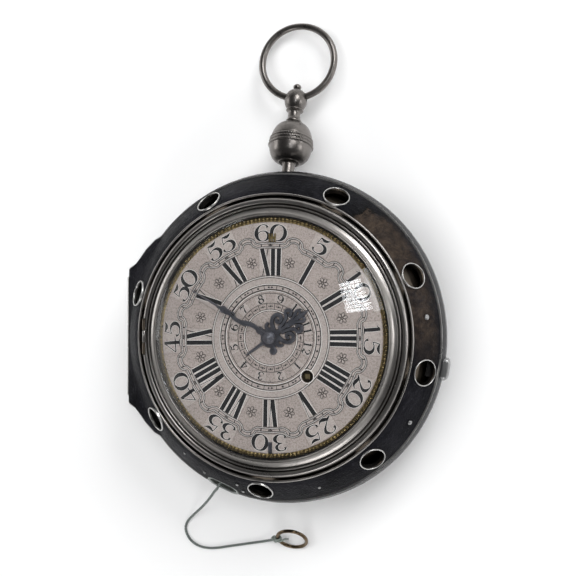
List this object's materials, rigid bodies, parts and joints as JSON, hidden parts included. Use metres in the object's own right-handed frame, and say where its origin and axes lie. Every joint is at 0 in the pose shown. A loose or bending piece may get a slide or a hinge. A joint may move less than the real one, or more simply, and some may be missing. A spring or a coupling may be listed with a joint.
{
  "type": "coach clock",
  "caption": "Pair-cased coach clock lying on its back: leather outer case with sound holes, domed glass, engraved metal dial, swivel bow ring, pull cord with ring.",
  "frame": {"origin": "centre of the flat back that the clock rests on", "axes": "+Z is the dial's normal, away from the surface it lies on; +Y points to 12 o'clock and the pendant; +X to 3 o'clock"},
  "size_m": [0.1351, 0.2214, 0.054],
  "materials": {
    "leather_black": "satin, worn",
    "silver": "worn silver, polished",
    "silver_dark": "tarnished silver",
    "silver_dial": "matted silver",
    "pendant_metal": "worn warm grey metal",
    "gilt": "gilt",
    "brass": "brushed, lacquered",
    "bell_metal": "turned",
    "blued_steel": "blued, polished",
    "steel": "polished",
    "bushing_metal": "dull grey",
    "crystal": "clear, domed",
    "cord_fibre": "twisted two-ply",
    "bronze": "aged bronze"
  },
  "bodies": {
    "outer_back": {"outer_back_shell": "silver_dark", "outer_back_cover": "leather_black", "outer_back_rim": "silver", "outer_back_knuckles": "silver", "outer_hinge_pin": "steel", "cord_bushing": "bushing_metal", "inner_case": "silver_dark", "bezel_hinge_pin": "steel", "pendant_stem": "pendant_metal", "pendant_ball": "pendant_metal", "bell": "bell_metal", "bell_screw": "blued_steel", "top_plate": "brass", "pillar_plate": "brass", "pillars": "brass", "fusee_chain": "steel", "potence": "brass", "balance_spring": "blued_steel", "balance_cock": "brass", "repeat_chain": "steel", "dial_plate": "silver_dial", "gilt_dial_ring": "gilt", "pull_cord": "cord_fibre", "cord_knot": "cord_fibre", "pull_ring": "bronze"},
    "outer_front": {"outer_front_shell": "silver_dark", "outer_front_cover": "leather_black", "outer_front_rim": "silver", "outer_front_lip": "silver", "outer_front_knuckles": "silver", "sound_hole_rings": "silver", "cover_pins": "silver"},
    "catch": {"catch_button": "silver_dark", "catch_spring": "steel"},
    "bezel": {"inner_bezel": "silver", "glass": "crystal"},
    "bow_swivel_post": {"bow_post": "pendant_metal"},
    "bow": {"bow_ring": "pendant_metal"},
    "minute": {"cannon_pinion": "brass", "minute_hand": "blued_steel", "hand_boss": "blued_steel"},
    "minute_wheel_body": {"minute_wheel": "brass"},
    "hour": {"hour_wheel": "brass", "hour_hand": "blued_steel"},
    "alarm_setting": {"alarm_disc": "silver_dial"},
    "fusee_body": {"fusee": "brass", "great_wheel": "brass"},
    "barrel": {"going_barrel": "brass"},
    "centre": {"centre_wheel": "brass"},
    "third": {"third_wheel": "brass"},
    "contrate": {"contrate_wheel": "brass"},
    "crown": {"crown_wheel": "brass"},
    "balance": {"verge_staff": "steel", "balance_wheel": "brass"},
    "alarm_barrel_body": {"alarm_barrel": "brass"},
    "alarm_escape": {"alarm_escape_wheel": "brass"},
    "alarm_hammer_body": {"alarm_hammer": "steel"},
    "repeat_hammer_body": {"repeat_hammer": "steel"},
    "repeat_pulley_body": {"repeat_pulley": "brass"},
    "bolt": {"movement_bolt": "blued_steel"}
  },
  "joints": [
    {"name": "outer_front_hinge", "type": "hinge", "parent": "outer_back", "child": "outer_front", "pos_m": [-0.0656, 0, 0.03], "axis": [0, -1, 0], "range_deg": [0, 110]},
    {"name": "bezel_hinge", "type": "hinge", "parent": "outer_back", "child": "bezel", "pos_m": [-0.05415, 0, 0.0422], "axis": [0, -1, 0], "range_deg": [0, 95]},
    {"name": "catch_press", "type": "slide", "parent": "outer_back", "child": "catch", "axis": [-0.9836, 0.1805, 0], "range_m": [0, 0.0009], "stiffness_N_per_m": 1500},
    {"name": "bow_swivel", "type": "hinge", "parent": "outer_back", "child": "bow_swivel_post", "pos_m": [0, 0.064, 0.02234], "axis": [0, 0.9409, -0.3387], "continuous": true},
    {"name": "bow_tilt", "type": "hinge", "parent": "bow_swivel_post", "child": "bow", "pos_m": [0, 0.09872, 0.00984], "axis": [1, 0, 0], "range_deg": [-100, 100]},
    {"name": "hands_set", "type": "hinge", "parent": "outer_back", "child": "minute", "pos_m": [0, 0, 0.044], "axis": [0, 0, -1], "continuous": true},
    {"name": "minute_wheel_turn", "type": "hinge", "parent": "outer_back", "child": "minute_wheel_body", "pos_m": [0.013, 0.0075, 0.04], "axis": [0, 0, -1], "continuous": true},
    {"name": "hour_turn", "type": "hinge", "parent": "outer_back", "child": "hour", "pos_m": [0, 0, 0.044], "axis": [0, 0, -1], "continuous": true},
    {"name": "alarm_set", "type": "hinge", "parent": "outer_back", "child": "alarm_setting", "pos_m": [0, 0, 0.0435], "axis": [0, 0, -1], "continuous": true},
    {"name": "contrate_turn", "type": "hinge", "parent": "outer_back", "child": "contrate", "pos_m": [0.008, 0.0282, 0.028], "axis": [0, 0, 1], "continuous": true},
    {"name": "third_turn", "type": "hinge", "parent": "outer_back", "child": "third", "pos_m": [0.0058, 0.016, 0.028], "axis": [0, 0, 1], "continuous": true},
    {"name": "centre_turn", "type": "hinge", "parent": "outer_back", "child": "centre", "pos_m": [0, 0, 0.028], "axis": [0, 0, 1], "continuous": true},
    {"name": "fusee_turn", "type": "hinge", "parent": "outer_back", "child": "fusee_body", "pos_m": [0.0151, -0.015, 0.028], "axis": [0, 0, 1], "continuous": true},
    {"name": "barrel_turn", "type": "hinge", "parent": "outer_back", "child": "barrel", "pos_m": [-0.016, -0.02, 0.028], "axis": [0, 0, 1], "continuous": true},
    {"name": "crown_turn", "type": "hinge", "parent": "outer_back", "child": "crown", "pos_m": [0.008, 0.0282, 0.0242], "axis": [-0.8402, -0.5423, 0], "continuous": true},
    {"name": "balance_swing", "type": "hinge", "parent": "outer_back", "child": "balance", "pos_m": [-0.014, 0.014, 0.028], "axis": [0, 0, 1], "range_deg": [-110, 110], "stiffness_Nm_per_rad": 0.000002},
    {"name": "alarm_barrel_turn", "type": "hinge", "parent": "outer_back", "child": "alarm_barrel_body", "pos_m": [-0.03, 0.004, 0.028], "axis": [0, 0, 1], "continuous": true},
    {"name": "alarm_escape_turn", "type": "hinge", "parent": "outer_back", "child": "alarm_escape", "pos_m": [-0.0344, 0.0164, 0.028], "axis": [0, 0, 1], "continuous": true},
    {"name": "alarm_hammer_swing", "type": "hinge", "parent": "outer_back", "child": "alarm_hammer_body", "pos_m": [-0.036, -0.012, 0.028], "axis": [0, 0, 1], "range_deg": [-2, 18], "stiffness_Nm_per_rad": 0.002},
    {"name": "repeat_hammer_swing", "type": "hinge", "parent": "outer_back", "child": "repeat_hammer_body", "pos_m": [0.036, -0.006, 0.028], "axis": [0, 0, 1], "range_deg": [-12, 2], "stiffness_Nm_per_rad": 0.002},
    {"name": "repeat_pull", "type": "hinge", "parent": "outer_back", "child": "repeat_pulley_body", "pos_m": [-0.016, -0.0385, 0.028], "axis": [0, 0, 1], "range_deg": [0, 270], "stiffness_Nm_per_rad": 0.0005},
    {"name": "bolt_press", "type": "slide", "parent": "outer_back", "child": "bolt", "axis": [0, 1, 0], "range_m": [0, 0.0012], "stiffness_N_per_m": 600}
  ],
  "couplings": [
    {"joint": "minute_wheel_turn", "follows": "hands_set", "ratio": -0.25},
    {"joint": "hour_turn", "follows": "hands_set", "ratio": 0.083333},
    {"joint": "third_turn", "follows": "contrate_turn", "ratio": -0.14815},
    {"joint": "centre_turn", "follows": "contrate_turn", "ratio": 0.019753},
    {"joint": "fusee_turn", "follows": "contrate_turn", "ratio": -0.0032922},
    {"joint": "barrel_turn", "follows": "contrate_turn", "ratio": -0.0019753},
    {"joint": "crown_turn", "follows": "contrate_turn", "ratio": 6},
    {"joint": "alarm_escape_turn", "follows": "alarm_barrel_turn", "ratio": -6}
  ]
}
